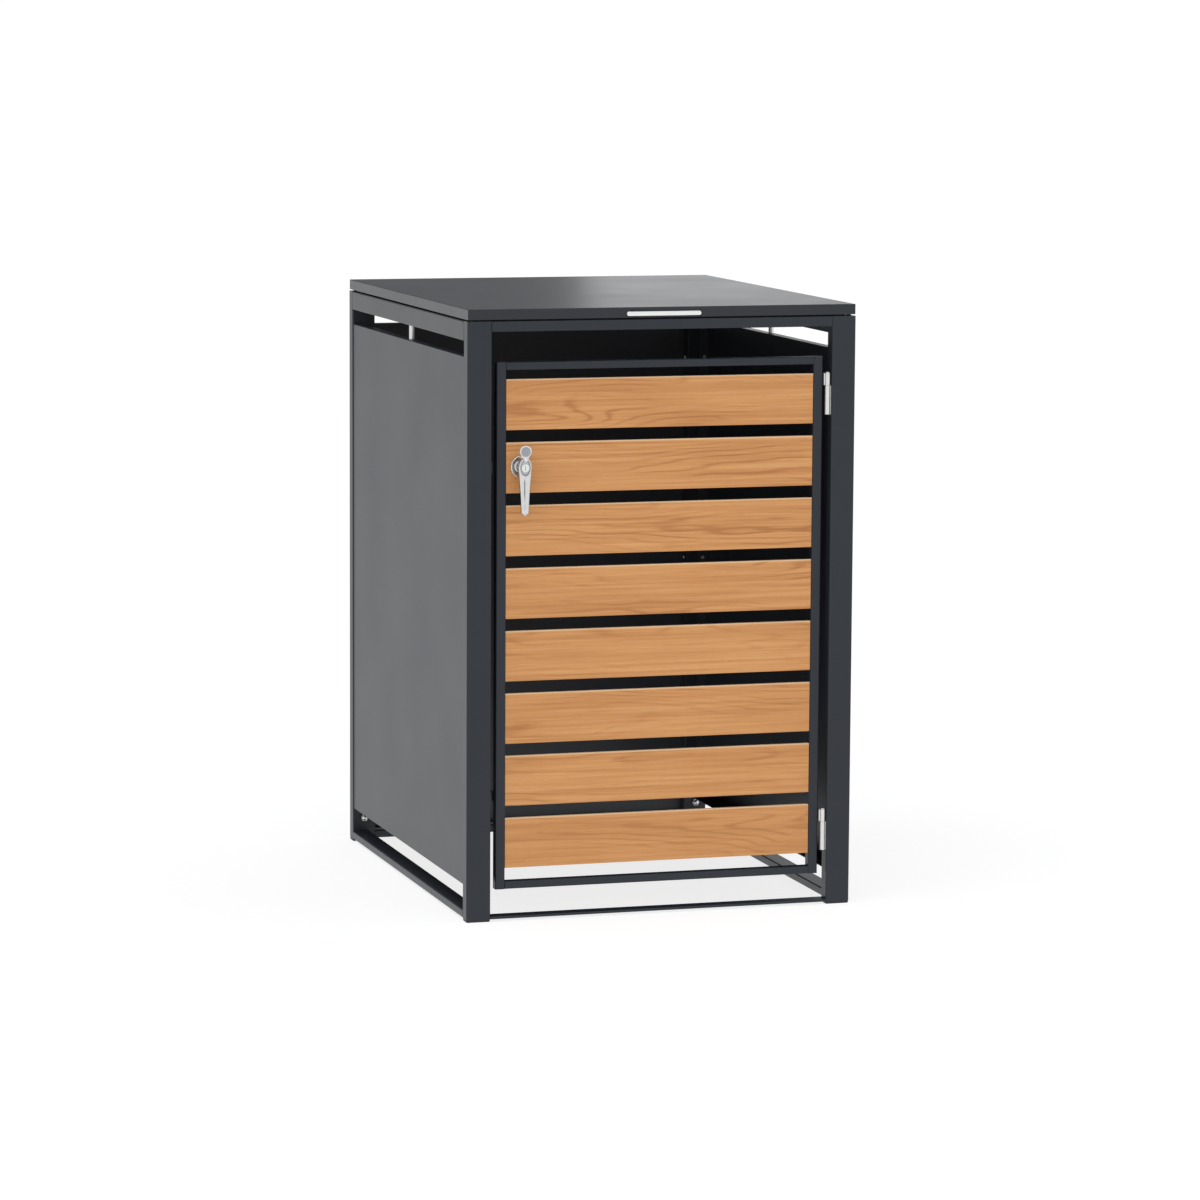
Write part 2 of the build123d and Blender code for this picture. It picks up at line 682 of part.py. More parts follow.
with BuildPart() as lock_housing:
    with BuildSketch(lock_plane(slat_front_y, BACK_TO_FRONT)):
        Circle(rosette_radius)
    extrude(amount=rosette_thickness)
    fillet(lock_housing.faces().sort_by(Axis.Y)[0].edges(), rosette_edge_radius)
    with BuildSketch(lock_plane(slat_front_y - rosette_thickness)):
        Circle(rosette_radius - rosette_rim)
    extrude(amount=rosette_dish, mode=Mode.SUBTRACT)
    with BuildSketch(lock_plane(slat_front_y - collar_start, BACK_TO_FRONT)):
        Circle(collar_radius)
    extrude(amount=rosette_thickness + collar_length - collar_start, taper=8)
    with BuildSketch(lock_plane(slat_front_y)):
        Circle(barrel_radius)
    extrude(amount=barrel_length)
    with BuildSketch(lock_plane(slat_front_y - rosette_thickness - collar_length)):
        Circle(spindle_radius + running_clearance)
    extrude(amount=rosette_thickness + collar_length + barrel_length, mode=Mode.SUBTRACT)
save(lock_housing, "lock_housing")

with BuildPart() as lock_nut:
    with BuildSketch(lock_plane(slat_rear_y)):
        RegularPolygon(lock_nut_half_flats, 6, major_radius=False)
        Circle(barrel_radius + running_clearance, mode=Mode.SUBTRACT)
    extrude(amount=lock_nut_height)
save(lock_nut, "lock_nut")

# ---------------------------------------------------------------- lock: turning handle
head_projection = 18.0
head_front_y = front_y - head_projection
head_thickness = 12.0
head_rear_y = head_front_y + head_thickness
head_front_rounding = 3.0
head_rear_rounding = 2.0
neck_radius = 8.0
neck_overlap = 1.0
neck_gap = 0.5
neck_end_y = slat_front_y - rosette_thickness - collar_length - neck_gap
spindle_front_y = head_rear_y + 2.0
spindle_rear_y = front_y + 50.0
spindle_chamfer = 0.8
head_radius = 13.2
head_centre = 1.0
head_top_radius = 4.5
lever_reach = 91.0
lever_tip_radius = 7.6
plug_radius = 7.5
plug_depth = 8.0
plug_end_gap = 0.2
key_slot_width = 1.8
key_slot_height = 9.0
key_slot_depth = 4.0
rivet_shank_radius = 1.5
rivet_shank_length = 5.0
cover_pivot = 16.5
cover_arm = 15.0
cover_radius = 11.8


def tangent_quad(radius_a, height_a, radius_b, height_b):
    """The four points where two straight lines touch both of two circles on the handle's centre line."""
    lean = math.asin((radius_a - radius_b) / (height_b - height_a))
    a = (radius_a * math.cos(lean), height_a + radius_a * math.sin(lean))
    b = (radius_b * math.cos(lean), height_b + radius_b * math.sin(lean))
    return [(-a[0], a[1]), (-b[0], b[1]), b, a]


blade_end = lever_reach - lever_tip_radius
lever_circles = (
    (head_top_radius, -cover_pivot),
    (head_radius, head_centre),
    (lever_tip_radius, blade_end),
)
with BuildPart() as lever_handle:
    with BuildSketch(lock_plane(head_front_y)):
        for radius, centre in lever_circles:
            with Locations((0, centre)):
                Circle(radius)
        with BuildLine():
            Polyline(*tangent_quad(head_top_radius, -cover_pivot, head_radius, head_centre), close=True)
        make_face()
        with BuildLine():
            Polyline(*tangent_quad(head_radius, head_centre, lever_tip_radius, blade_end), close=True)
        make_face()
    extrude(amount=head_thickness)
    fillet(lever_handle.faces().sort_by(Axis.Y)[0].edges(), head_front_rounding)
    fillet(lever_handle.faces().sort_by(Axis.Y)[-1].edges(), head_rear_rounding)
    with BuildSketch(lock_plane(head_rear_y - neck_overlap)):
        Circle(neck_radius)
    extrude(amount=neck_end_y - head_rear_y + neck_overlap)
    with BuildSketch(lock_plane(head_front_y)):
        Circle(plug_radius + running_clearance)
    extrude(amount=plug_depth, mode=Mode.SUBTRACT)
    with BuildSketch(lock_plane(neck_end_y, BACK_TO_FRONT)):
        Circle(spindle_radius + running_clearance)
    extrude(amount=neck_end_y - spindle_front_y, mode=Mode.SUBTRACT)
    with BuildSketch(lock_plane(head_front_y)):
        with Locations((0, -cover_pivot)):
            Circle(rivet_shank_radius + running_clearance)
    extrude(amount=rivet_shank_length, mode=Mode.SUBTRACT)
save(lever_handle, "lever_handle")

with BuildPart() as spindle:
    with BuildSketch(lock_plane(spindle_front_y)):
        Circle(spindle_radius)
    extrude(amount=spindle_rear_y - spindle_front_y)
    chamfer(spindle.faces().sort_by(Axis.Y)[-1].edges(), spindle_chamfer)
save(spindle, "spindle")

tongue_length = 38.0
tongue_half_width = 9.0
tongue_thickness = 3.0
tongue_gap = 1.5
cam_nut_half_flats = 8.0
cam_nut_height = 5.0
tongue_front_y = strike_front_y + strike_thickness + tongue_gap
with BuildPart() as cam_tongue:
    with BuildSketch(lock_plane(tongue_front_y)):
        Circle(tongue_half_width)
        with Locations((0, -tongue_length / 2)):
            Rectangle(2 * tongue_half_width, tongue_length)
        Circle(spindle_radius + running_clearance, mode=Mode.SUBTRACT)
    extrude(amount=tongue_thickness)
save(cam_tongue, "cam_tongue")

with BuildPart() as cam_nut:
    with BuildSketch(lock_plane(tongue_front_y + tongue_thickness)):
        RegularPolygon(cam_nut_half_flats, 6, major_radius=False)
        Circle(spindle_radius + running_clearance, mode=Mode.SUBTRACT)
    extrude(amount=cam_nut_height)
save(cam_nut, "cam_nut")

# ---------------------------------------------------------------- lock: key plug and dust cover
with BuildPart() as key_plug:
    with BuildSketch(lock_plane(head_front_y + plug_end_gap)):
        Circle(plug_radius)
    extrude(amount=plug_depth - 2 * plug_end_gap)
    with BuildSketch(lock_plane(head_front_y + plug_end_gap)):
        Rectangle(key_slot_width, key_slot_height)
    extrude(amount=key_slot_depth, mode=Mode.SUBTRACT)
save(key_plug, "key_plug")

cover_thickness = 1.7
cover_projection = 20.1
cover_rim_radius = 0.6
rivet_gap = 0.1
cover_rivet_radius = 3.0
cover_rivet_height = 0.8
disc_height = -cover_pivot - cover_arm
cover_front_y = front_y - cover_projection
with BuildPart() as dust_cover:
    with BuildSketch(lock_plane(cover_front_y)):
        with Locations((0, disc_height)):
            Circle(cover_radius)
        with Locations((0, -cover_pivot)):
            Circle(head_top_radius)
        with BuildLine():
            Polyline(*tangent_quad(cover_radius, disc_height, head_top_radius, -cover_pivot), close=True)
        make_face()
        with Locations((0, -cover_pivot)):
            Circle(rivet_shank_radius + running_clearance, mode=Mode.SUBTRACT)
    extrude(amount=cover_thickness)
    fillet(dust_cover.faces().sort_by(Axis.Y)[0].outer_wire().edges(), cover_rim_radius)
save(dust_cover, "dust_cover")

with BuildPart() as cover_rivet:
    with BuildSketch(lock_plane(cover_front_y - rivet_gap)):
        with Locations((0, -cover_pivot)):
            Circle(rivet_shank_radius)
    extrude(amount=rivet_shank_length)
    with BuildSketch(lock_plane(cover_front_y - rivet_gap, BACK_TO_FRONT)):
        with Locations((0, cover_pivot)):
            Circle(cover_rivet_radius)
    extrude(amount=cover_rivet_height, taper=25)
save(cover_rivet, "dust_cover_rivet")

print(f"door axis ({door_axis_x}, {door_axis_y})")
print(f"lid axis (y {lid_axis_y}, z {lid_axis_z}), lock axis (x {lock_x}, z {lock_z})")
print(f"front_y {front_y}, rear_y {rear_y}, bay y {bay_front_y} to {bay_rear_y}")
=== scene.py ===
# %% [markdown]
# # A steel housing for a wheeled refuse bin
#
# The object is a powder-coated steel frame with folded side and rear sheets, a lift-up lid, and a door
# of eight wood-look boards on barrel hinges, closed by a keyed lever. The CAD model already holds every
# tube, sheet, hinge and screw at its real size, so this script adds what a drawing can't: light, finishes,
# the castings of the lock and a strip of foam under the lid.
#
# The frame comes in first. Nothing built here may grow the object.

# %% Load the fixed frame
import json
import math
import random

import bmesh
import bpy
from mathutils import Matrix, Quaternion, Vector


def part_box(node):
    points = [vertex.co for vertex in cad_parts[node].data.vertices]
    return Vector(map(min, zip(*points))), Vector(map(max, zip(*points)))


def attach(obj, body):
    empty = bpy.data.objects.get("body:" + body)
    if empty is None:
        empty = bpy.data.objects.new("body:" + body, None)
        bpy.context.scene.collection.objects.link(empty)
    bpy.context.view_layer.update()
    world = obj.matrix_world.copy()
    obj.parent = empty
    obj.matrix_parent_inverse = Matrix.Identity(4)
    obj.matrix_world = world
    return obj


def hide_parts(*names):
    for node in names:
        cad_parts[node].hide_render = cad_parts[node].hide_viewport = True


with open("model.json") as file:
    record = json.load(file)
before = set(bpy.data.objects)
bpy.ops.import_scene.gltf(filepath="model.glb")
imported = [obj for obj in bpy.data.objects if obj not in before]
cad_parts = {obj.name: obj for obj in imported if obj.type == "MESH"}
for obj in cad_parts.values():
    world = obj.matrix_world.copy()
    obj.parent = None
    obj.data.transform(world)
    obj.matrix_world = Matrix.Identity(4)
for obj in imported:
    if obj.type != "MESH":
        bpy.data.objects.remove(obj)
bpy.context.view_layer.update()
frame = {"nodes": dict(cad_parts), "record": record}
nodes = frame["nodes"]

# %% [markdown]
# ## Where the camera stands
#
# The housing is looked at from its front left, from a little above its lid, through a long lens: its
# upright edges stay almost parallel. A long lens far away is the honest way to get that look. A wide lens
# close by would splay the posts, and a sideways shift would follow the camera into every other view.
# Distances are counted in body heights, and the camera leans a third of a degree, as on a soft lawn.

# %% Camera
rear_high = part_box("rear_right_post")[1]
post_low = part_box("front_left_post")[0]
lid_low, lid_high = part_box("lid_cover")
body_height = lid_high.z
body_middle_y = (post_low.y + rear_high.y) / 2

LENS_LENGTH = 142.1
SENSOR_WIDTH = 36.0
BEYOND_THE_FLOOR = 4000.0
turn_right = math.radians(16.88)
look_down = math.radians(7.45)
lean_left = math.radians(0.33)
camera_place = Vector((-2.327, -7.715, 1.524)) * body_height + Vector((0, body_middle_y, 0))
view_direction = Vector((
    math.sin(turn_right) * math.cos(look_down),
    math.cos(turn_right) * math.cos(look_down),
    -math.sin(look_down),
))

camera_data = bpy.data.cameras.new("studio_camera")
camera_data.lens = LENS_LENGTH
camera_data.sensor_width = SENSOR_WIDTH
camera_data.clip_end = BEYOND_THE_FLOOR
camera = bpy.data.objects.new("studio_camera", camera_data)
camera.location = camera_place
camera.rotation_mode = "QUATERNION"
level_view = view_direction.to_track_quat("-Z", "Y")
camera.rotation_quaternion = level_view @ Quaternion((0, 0, 1), lean_left)
bpy.context.scene.collection.objects.link(camera)
bpy.context.scene.camera = camera
print("camera", tuple(round(v, 3) for v in camera.location), "lens", LENS_LENGTH)

# %% [markdown]
# ## Socket arithmetic
#
# A finish is mostly arithmetic on masks: stretch a coordinate, add two noises, invert a cavity. Wiring
# Math nodes by hand hides that arithmetic, so a small class wraps a socket and lets plain Python
# expressions add the nodes.

# %% Sockets as numbers
class Value:
    """A shader socket that can be added, subtracted and multiplied like a number."""

    def __init__(self, wiring, socket):
        self.wiring = wiring
        self.socket = socket

    def math(self, operation, *others):
        return self.wiring.node("ShaderNodeMath", {"operation": operation}, dict(enumerate((self, *others))))

    def __add__(self, other):
        return self.math("ADD", other)

    def __mul__(self, other):
        return self.math("MULTIPLY", other)

    def __sub__(self, other):
        return self.math("SUBTRACT", other)

    def __rsub__(self, other):
        return self.wiring.node("ShaderNodeMath", {"operation": "SUBTRACT"}, {0: other, 1: self})

    __radd__ = __add__
    __rmul__ = __mul__

    def clamp(self):
        return self.wiring.node("ShaderNodeClamp", {}, {"Value": self})


def between(low, high, mask):
    """A number that runs from low to high as mask runs from 0 to 1."""
    return mask * (high - low) + low


print("socket arithmetic ready")

# %% [markdown]
# ## One method for every node
#
# Each node is made in the same order: its kind, then its settings, then its sockets. The order matters,
# because a setting such as a Mix node's data type decides which sockets the node has. Colours don't go
# through Math nodes, which would turn them grey: they are mixed by Mix nodes. The sky has a node tree as
# well, so the method sits in a class of its own and a finish builds on it.

# %% Node trees
def set_stops(elements, stops):
    """Gives a colour ramp its stops, each a position and a colour."""
    while len(elements) < len(stops):
        elements.new(0.5)
    for element, (position, colour) in zip(elements, stops):
        element.position = position
        element.color = (*colour, 1.0)


class Wiring:
    """A node tree under construction."""

    def __init__(self, tree):
        self.tree = tree

    def node(self, kind, settings, inputs, output=0):
        """Any node: its settings first, then the values or links of its sockets."""
        made = self.tree.nodes.new(kind)
        for name, setting in settings.items():
            if name == "stops":
                set_stops(made.color_ramp.elements, setting)
            else:
                setattr(made, name, setting)
        for key, given in inputs.items():
            self.connect(given, made.inputs[key])
        return Value(self, made.outputs[output])

    def connect(self, given, socket):
        """Links a value to a socket, or sets the socket to a number, a vector or a colour."""
        if isinstance(given, Value):
            self.tree.links.new(given.socket, socket)
        elif socket.type == "RGBA":
            socket.default_value = (*given, 1.0)
        else:
            socket.default_value = given


print("node trees ready")

# %% [markdown]
# ## A finish
#
# Every surface here is one Principled shader. What is the same all over it is set on the shader's own
# sockets, and what varies is fed in from noises that are read in metres on the object itself, so a grain
# keeps its real size on a large sheet and on a small screw.

# %% Finishes
class Finish(Wiring):
    """A material under construction, with its shader and the place on the object in metres."""

    def __init__(self, name, **settings):
        self.material = bpy.data.materials.new(name)
        self.material.use_nodes = True
        super().__init__(self.material.node_tree)
        self.shader = self.tree.nodes["Principled BSDF"]
        for socket_name, number in settings.items():
            self.shader.inputs[socket_name.replace("_", " ")].default_value = number
        self.place = self.node("ShaderNodeTexCoord", {}, {}, output="Object")

    def along(self, axis):
        """The place along one axis, as a number."""
        return self.node("ShaderNodeSeparateXYZ", {}, {"Vector": self.place}, output=axis)

    def stretched(self, scale, offset=(0, 0, 0)):
        """The place with each axis scaled."""
        return self.node("ShaderNodeMapping", {}, {"Vector": self.place, "Scale": scale, "Location": offset})

    def noise(self, vector, scale=1.0, detail=2.0, roughness=0.5, distortion=0.0):
        return self.node("ShaderNodeTexNoise", {}, {
            "Vector": vector,
            "Scale": scale,
            "Detail": detail,
            "Roughness": roughness,
            "Distortion": distortion,
        })

    def ramp(self, factor, stops):
        return self.node("ShaderNodeValToRGB", {"stops": stops}, {"Fac": factor}, output="Color")

    def mix(self, factor, first, second):
        """Two colours mixed. A colour is a value or a plain tuple."""
        return self.node("ShaderNodeMix", {"data_type": "RGBA"}, {0: factor, 6: first, 7: second}, output=2)

    def feed(self, socket_name, value):
        """Links a varying value to the shader."""
        self.connect(value, self.shader.inputs[socket_name])

    def bump(self, height, strength, distance):
        inputs = {"Height": height, "Strength": strength, "Distance": distance}
        self.feed("Normal", self.node("ShaderNodeBump", {}, inputs))


def shade(colour, share):
    """A colour made darker or lighter."""
    return tuple(channel * share for channel in colour)


print("finishes ready")

# %% [markdown]
# ## Powder-coated steel
#
# Frame, lid, panels and door tubes are sprayed with dry anthracite powder and baked. The melt flows into
# a skin with a faint orange peel, a few millimetres from crest to crest, that breaks reflections up a
# little. Mirror-smooth paint would look wet and plain roughness would look chalky, so the finish is a
# satin coat whose normal wanders with a soft noise, with a finer grain on top and a little uneven gloss
# where hands and rain have been.

# %% Powder coat
ANTHRACITE = (0.0150, 0.0185, 0.0250)
PANEL_GREY = (0.0200, 0.0230, 0.0300)
LID_GREY = (0.0130, 0.0155, 0.0210)
PEEL_DISTANCE = 0.0004


def powder_coat(name, colour, gloss_low, gloss_high, peel=0.10, shine=0.5):
    coat = Finish(name, Specular_IOR_Level=shine)
    cloud = coat.noise(coat.place, scale=5.5, detail=3.0)
    peel_height = coat.noise(coat.place, scale=420.0, detail=1.0)
    grain = coat.noise(coat.place, scale=2100.0, detail=0.0)
    coat.feed("Base Color", coat.mix(cloud, shade(colour, 0.86), shade(colour, 1.22)))
    coat.feed("Roughness", between(gloss_low, gloss_high, cloud * 0.7 + grain * 0.3))
    coat.bump(peel_height * 0.75 + grain * 0.25, peel, PEEL_DISTANCE)
    return coat.material


frame_coat = powder_coat("anthracite_frame_coat", ANTHRACITE, 0.30, 0.42, shine=0.36)
panel_coat = powder_coat("anthracite_panel_coat", PANEL_GREY, 0.34, 0.46)
lid_coat = powder_coat("anthracite_lid_coat", LID_GREY, 0.28, 0.38, peel=0.07, shine=0.42)
print("powder coats:", frame_coat.name, panel_coat.name, lid_coat.name)

# %% [markdown]
# ## Oak decor: the pattern
#
# The boards carry a honey-oak decor: long fibres along the board, growth rings that open into pointed
# arches, and pores as short dark dashes. A picture could be wrapped on, but a ring pattern is only height
# plus a slow wander: lines of equal `z + wander(x, z)` are the arches. All boards cut one pattern, each at
# its own height, so no two match. Where the rings fade out, straight grain is left.

# %% Rings, fibres and pores
RINGS_IN_HEIGHT = 430.0
RINGS_IN_ARCHES = 95.0
RINGS_IN_WANDER = 24.0
RING_SHARPNESS = 5.0


def ring_lines(oak, height):
    """Narrow dark lines, one where each growth ring ends."""
    arches = oak.noise(oak.stretched((1.1, 3.0, 7.0)), distortion=0.5)
    wander = oak.noise(oak.stretched((2.4, 4.0, 21.0), (7.0, 0.0, 3.0)), detail=3.0)
    phase = height * RINGS_IN_HEIGHT + arches * RINGS_IN_ARCHES + wander * RINGS_IN_WANDER
    return (phase.math("SINE") * 0.5 + 0.5).math("POWER", RING_SHARPNESS)


def ring_presence(oak):
    """Falls to nothing where the rings give way to straight grain."""
    fading = oak.noise(oak.stretched((2.2, 3.0, 17.0), (1.0, 0.0, 9.0)))
    return ((fading - 0.38) * 4.0).clamp()


def pore_dashes(oak):
    pores = oak.noise(oak.stretched((40.0, 200.0, 2000.0)), detail=1.0)
    return ((pores - 0.60) * 8.0).clamp()


print("rings per metre of height:", round(RINGS_IN_HEIGHT / (2 * math.pi), 1))

# %% [markdown]
# ## Oak decor: the colour
#
# Fibres, streaks and broad patches are added to one tone, and a ramp turns the tone into honey colours.
# The long upper edge of every board carries a painted highlight: a pale line that stands in for the light
# caught by the rounded top corner. A painted edge line on eight meshes would be eight chances to miss, so
# the line is worked out from the height alone: the boards repeat at one pitch.

# %% Oak boards
board_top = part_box("slat_1")[1].z
board_pitch = board_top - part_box("slat_2")[1].z
HONEY_STOPS = [
    (0.34, (0.385, 0.142, 0.038)),
    (0.48, (0.540, 0.234, 0.073)),
    (0.60, (0.645, 0.305, 0.106)),
    (0.78, (0.745, 0.400, 0.162)),
]
DEEP_HONEY = (0.530, 0.236, 0.074)
PORE_BROWN = (0.300, 0.110, 0.034)
# Painted highlight: the pale colour of the line along each board's upper edge, standing in for light caught
# by the rounded corner.
PAINTED_EDGE_HIGHLIGHT = (0.860, 0.660, 0.430)
EDGE_WIDTH = 0.00303


def oak_decor(name):
    oak = Finish(name, Specular_IOR_Level=0.42)
    height = oak.along("Z")
    rings = ring_lines(oak, height)
    pores = pore_dashes(oak)
    fibres = oak.noise(oak.stretched((8.0, 60.0, 760.0)), detail=4.0, roughness=0.62)
    streaks = oak.noise(oak.stretched((2.2, 12.0, 150.0), (3.0, 0.0, 1.0)), detail=3.0)
    patches = oak.noise(oak.stretched((3.0, 3.0, 14.0), (5.0, 0.0, 2.0)), detail=1.0)
    tone = fibres * 0.44 + streaks * 0.60 + patches * 0.22 - rings * ring_presence(oak) * 0.22 - 0.06
    board_tone = oak.noise(oak.stretched((0.3, 0.0, 5.3), (0.0, 0.0, 2.7)), detail=0.0)
    colour = oak.mix(board_tone * 0.7, oak.ramp(tone, HONEY_STOPS), DEEP_HONEY)
    colour = oak.mix(pores * 0.35, colour, PORE_BROWN)
    # A painted highlight along the top of each board, worked out from the height.
    under_edge = ((board_top - height) * (1.0 / board_pitch)).math("FRACT") * board_pitch
    edge_highlight = (1.0 - under_edge * (1.0 / EDGE_WIDTH)).clamp()
    oak.feed("Base Color", oak.mix(edge_highlight * 0.75, colour, PAINTED_EDGE_HIGHLIGHT))
    oak.feed("Roughness", between(0.42, 0.58, fibres))
    oak.bump(fibres * 0.6 - rings * 0.2 - pores * 0.5, 0.18, 0.0005)
    return oak.material


oak_boards = oak_decor("honey_oak_decor")
print("oak decor ready, board pitch", round(board_pitch * 1000, 1), "mm")

# %% [markdown]
# ## Brushed and cast metal
#
# The hinge barrels, spacers, dome nuts and the lid's grip are brushed stainless steel, and the lock is a
# casting under satin chrome. Both are metals, so the base colour is the reflection's colour and the work
# is in the roughness: long scratches for brushing, slow clouds for a casting.

# %% Stainless steel and chrome
def brushed_metal(name, colour, scratch_scale, roughness_low, roughness_high):
    metal = Finish(name, Metallic=1.0)
    scratches = metal.noise(metal.stretched(scratch_scale), detail=3.0)
    cloud = metal.noise(metal.place, scale=60.0)
    metal.feed("Base Color", metal.mix(scratches * 0.7 + cloud * 0.3, shade(colour, 0.80), colour))
    metal.feed("Roughness", between(roughness_low, roughness_high, scratches * 0.6 + cloud * 0.4))
    metal.bump(scratches, 0.10, 0.0001)
    return metal.material


stainless = brushed_metal("brushed_stainless", (0.80, 0.80, 0.79), (30.0, 30.0, 3500.0), 0.24, 0.40)
grip_steel = brushed_metal("grip_stainless", (0.93, 0.93, 0.92), (20.0, 900.0, 3000.0), 0.30, 0.48)
lock_chrome = brushed_metal("satin_chrome", (0.83, 0.83, 0.83), (700.0, 700.0, 260.0), 0.14, 0.27)
print("metals:", stainless.name, grip_steel.name, lock_chrome.name)

# %% [markdown]
# ## Zinc
#
# Screws, rivets and what hides behind the door are plain zinc plate. Zinc freezes in small crystals, each
# with its own gloss. A Voronoi texture is cells already, so the crystals are one node.

# %% Zinc plate
def zinc_plate(name):
    zinc = Finish(name, Metallic=1.0)
    crystals = zinc.node("ShaderNodeTexVoronoi", {}, {"Vector": zinc.place, "Scale": 700.0})
    cloud = zinc.noise(zinc.place, scale=130.0)
    zinc.feed("Base Color", zinc.mix(cloud, (0.50, 0.51, 0.53), (0.66, 0.67, 0.68)))
    zinc.feed("Roughness", between(0.30, 0.55, crystals.clamp()))
    zinc.bump(crystals, 0.12, 0.0001)
    return zinc.material


bright_zinc = zinc_plate("bright_zinc")
print("zinc:", bright_zinc.name)

# %% [markdown]
# ## Plastic and rubber
#
# Feet, tube plugs and buffers are black mouldings. Moulded plastic keeps the spark-eroded texture of its
# tool, a fine even pebble, and rubber is duller and softer. Both are one noise apart.

# %% Mouldings
def moulding(name, colour, pebble_scale, roughness_low, roughness_high):
    plastic = Finish(name, Specular_IOR_Level=0.4)
    pebbles = plastic.noise(plastic.place, scale=pebble_scale)
    dust = plastic.noise(plastic.place, scale=40.0, detail=3.0)
    plastic.feed("Base Color", plastic.mix(dust, colour, shade(colour, 2.0)))
    plastic.feed("Roughness", between(roughness_low, roughness_high, pebbles))
    plastic.bump(pebbles, 0.30, 0.0002)
    return plastic.material


black_plastic = moulding("black_moulding", (0.012, 0.012, 0.013), 1800.0, 0.42, 0.62)
black_rubber = moulding("black_rubber", (0.016, 0.016, 0.016), 900.0, 0.62, 0.80)
print("mouldings:", black_plastic.name, black_rubber.name)

# %% [markdown]
# ## Finishes onto the frame
#
# The record already says which slot each CAD node wears, so the finishes are handed out by slot, with a
# short list of exceptions. A node's mesh stays as it is: only its material slots change.

# %% Hand out the finishes
SLOT_FINISH = {
    "coated_steel": frame_coat,
    "door_steel": frame_coat,
    "panel_steel": panel_coat,
    "lid_steel": lid_coat,
    "wood_decor": oak_boards,
    "brushed_steel": stainless,
    "lock_chrome": lock_chrome,
    "zinc_hardware": bright_zinc,
    "black_plastic": black_plastic,
    "rubber": black_rubber,
}
NODE_FINISH = {"lid_grip": grip_steel, "lid_grip_backplate": frame_coat}

for part in frame["record"]["subparts"]:
    node = nodes[part["node"]]
    node.data.materials.clear()
    node.data.materials.append(NODE_FINISH.get(part["node"], SLOT_FINISH[part["material_slot"]]))

# %% [markdown]
# ## The lock's own measures
#
# The lever and its dust cover are about to be shaped again, so their places are read off the CAD pieces
# that they stand for. Every height on the lock is counted from the key plug's axis.

# %% Lock measures
plug_low, plug_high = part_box("key_plug")
lock_centre = (plug_low + plug_high) / 2
lever_low, lever_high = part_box("lever_handle")
head_reach = lever_high.x - lock_centre.x
lever_top = lever_high.z - lock_centre.z
lever_foot = lever_low.z - lock_centre.z
lever_front = lever_low.y
cover_low, cover_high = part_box("dust_cover")
cover_foot = cover_low.z - lock_centre.z
cover_top = cover_high.z - lock_centre.z
cover_reach = (cover_high.x - cover_low.x) / 2
DISH_HALF_WIDTH = head_reach * 0.78
DISH_HALF_HEIGHT = 0.0160
DISH_RISE = 0.0005
print("lever", round((lever_top - lever_foot) * 1000, 1), "mm long")
print("lever head", round(head_reach * 2000, 1), "mm wide, dish", round(DISH_HALF_WIDTH * 2000, 1), "mm")

# %% [markdown]
# ## Painted shade in the casting's hollows
#
# The chrome's hollows are painted darker: painted shade and dark reflection, standing in for the darker
# surroundings that chrome mirrors in its recesses. The same chrome is mottled with a painted reflection, so
# one function makes both finishes and is told where the hollows are: an oval round the key plug and a
# streak down the flute on the lever, the field inside the rim on the dust cover.

# %% Chrome with painted shade in its hollows
def chrome_with_painted_shade(name, painted_shade_at, painted_shade_colour):
    chrome = Finish(name, Metallic=1.0)
    x = chrome.along("X") - lock_centre.x
    z = chrome.along("Z") - lock_centre.z
    mottle = chrome.noise(chrome.place, scale=420.0, detail=3.0, distortion=0.8)
    # Where this mask is high, the colour is painted shade and dark reflection in the hollows.
    painted_shade_mask = (painted_shade_at(x, z) * (0.72 + mottle * 0.5)).clamp()
    # A painted reflection: the chrome's base colour mottled lighter and darker.
    bright = chrome.mix(mottle, (0.56, 0.56, 0.56), (0.74, 0.74, 0.73))
    chrome.feed("Base Color", chrome.mix(painted_shade_mask, bright, painted_shade_colour))
    chrome.feed("Roughness", between(0.16, 0.42, painted_shade_mask * 0.7 + mottle * 0.3))
    chrome.bump(mottle, 0.16, 0.0003)
    return chrome.material


def lever_painted_shade(x, z):
    """Painted shade and dark reflection: a grey ring inside the dish's rim, a fainter floor, and a streak
    between the blade's two ends.
    """
    across = x * (1.0 / DISH_HALF_WIDTH)
    up = (z - DISH_RISE) * (1.0 / DISH_HALF_HEIGHT)
    oval = (across * across + up * up).math("SQRT")
    ring = (1.0 - (oval - 0.90).math("ABSOLUTE") * 9.0).clamp()
    dish_floor = ((0.95 - oval) * 8.0).clamp() * 0.35
    streak = (1.0 - (x + 0.0012).math("ABSOLUTE") * 520.0).clamp()
    along_blade = ((-0.020 - z) * 160.0).clamp() * ((z + 0.066) * 60.0).clamp()
    return ring * 0.85 + dish_floor + streak * along_blade


def cover_painted_shade(x, z):
    """Painted shade: a round field inside the cover's rim."""
    up = z - (cover_top - 0.0118)
    distance = (x * x + up * up).math("SQRT")
    return ((0.0098 - distance) * 900.0).clamp()


# The dark colours given here are the painted shade in the hollows.
lever_chrome = chrome_with_painted_shade("lever_chrome_painted_shade", lever_painted_shade, (0.10, 0.10, 0.11))
cover_chrome = chrome_with_painted_shade("cover_chrome_painted_shade", cover_painted_shade, (0.33, 0.34, 0.37))
print("chrome with painted shade:", lever_chrome.name, cover_chrome.name)

# %% [markdown]
# ## Skin over rings
#
# A casting has no flat panel: every face turns a little, and chrome shows it. Such a shape is laid up as
# rings of points, one above the other, and then skinned. The ring's width is the outline at that height.
# Its front half is pushed in and out by one function and its back half by another. A sculpted mesh would
# do as well, but nobody could read its numbers or change the lever's length later.

# %% Rings and skins
THINNEST_REACH = 0.00005


